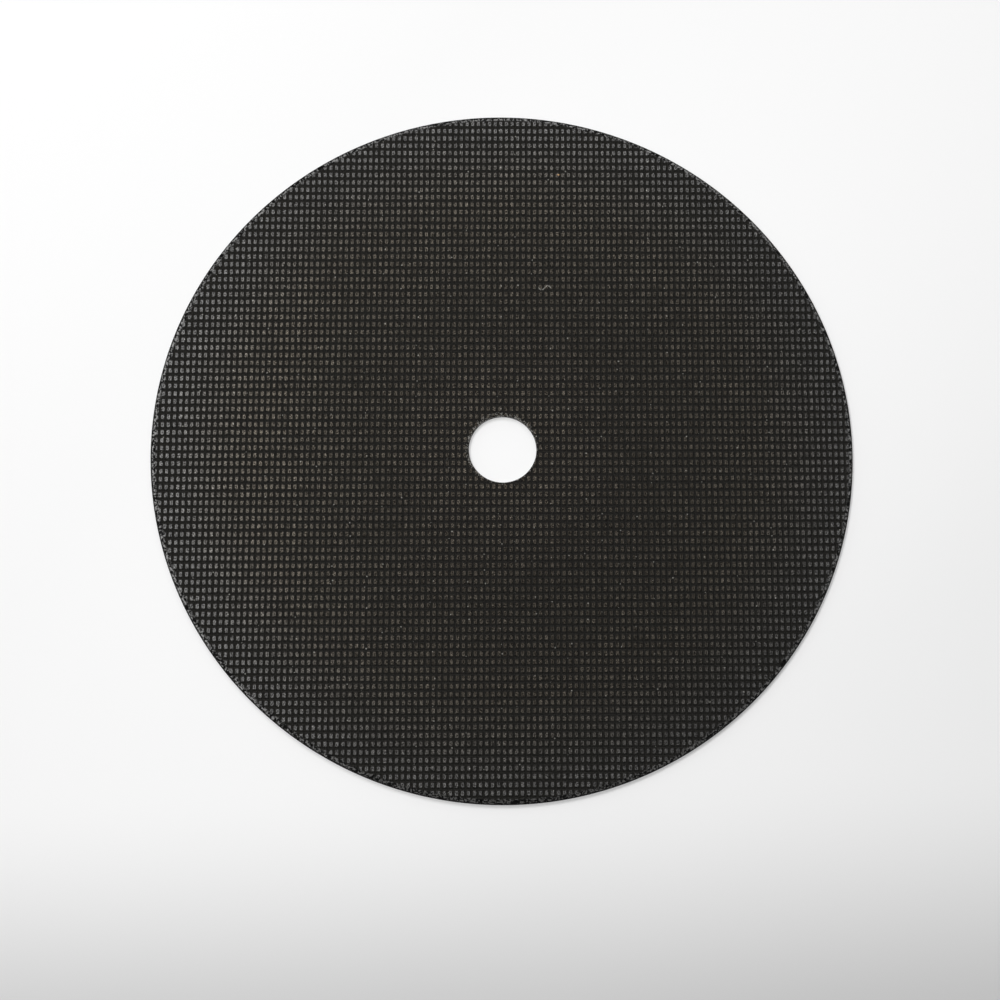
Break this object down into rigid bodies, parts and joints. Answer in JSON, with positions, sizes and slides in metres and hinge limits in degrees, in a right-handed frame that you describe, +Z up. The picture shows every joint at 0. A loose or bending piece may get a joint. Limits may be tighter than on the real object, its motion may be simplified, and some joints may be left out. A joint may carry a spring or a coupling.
{
  "type": "cut off wheel",
  "caption": "Thin flat resin-bonded abrasive cut-off wheel with a plain round bore, a cloth imprint pressed into both faces and a bare gritty rim, for a hand-held angle grinder.",
  "frame": {"origin": "centre of the bore on the plane that the wheel lies on, at the underside's lands", "axes": "+Z up along the bore's axis, through the wheel's thickness; +X along the rows of the cloth imprint"},
  "size_m": [0.23, 0.23, 0.002],
  "materials": {
    "bonded_abrasive": "matte black resin-bonded grit, with satin lands between the grooves of the cloth imprint"
  },
  "bodies": {
    "root": {"cut_off_wheel": "bonded_abrasive"}
  },
  "joints": []
}
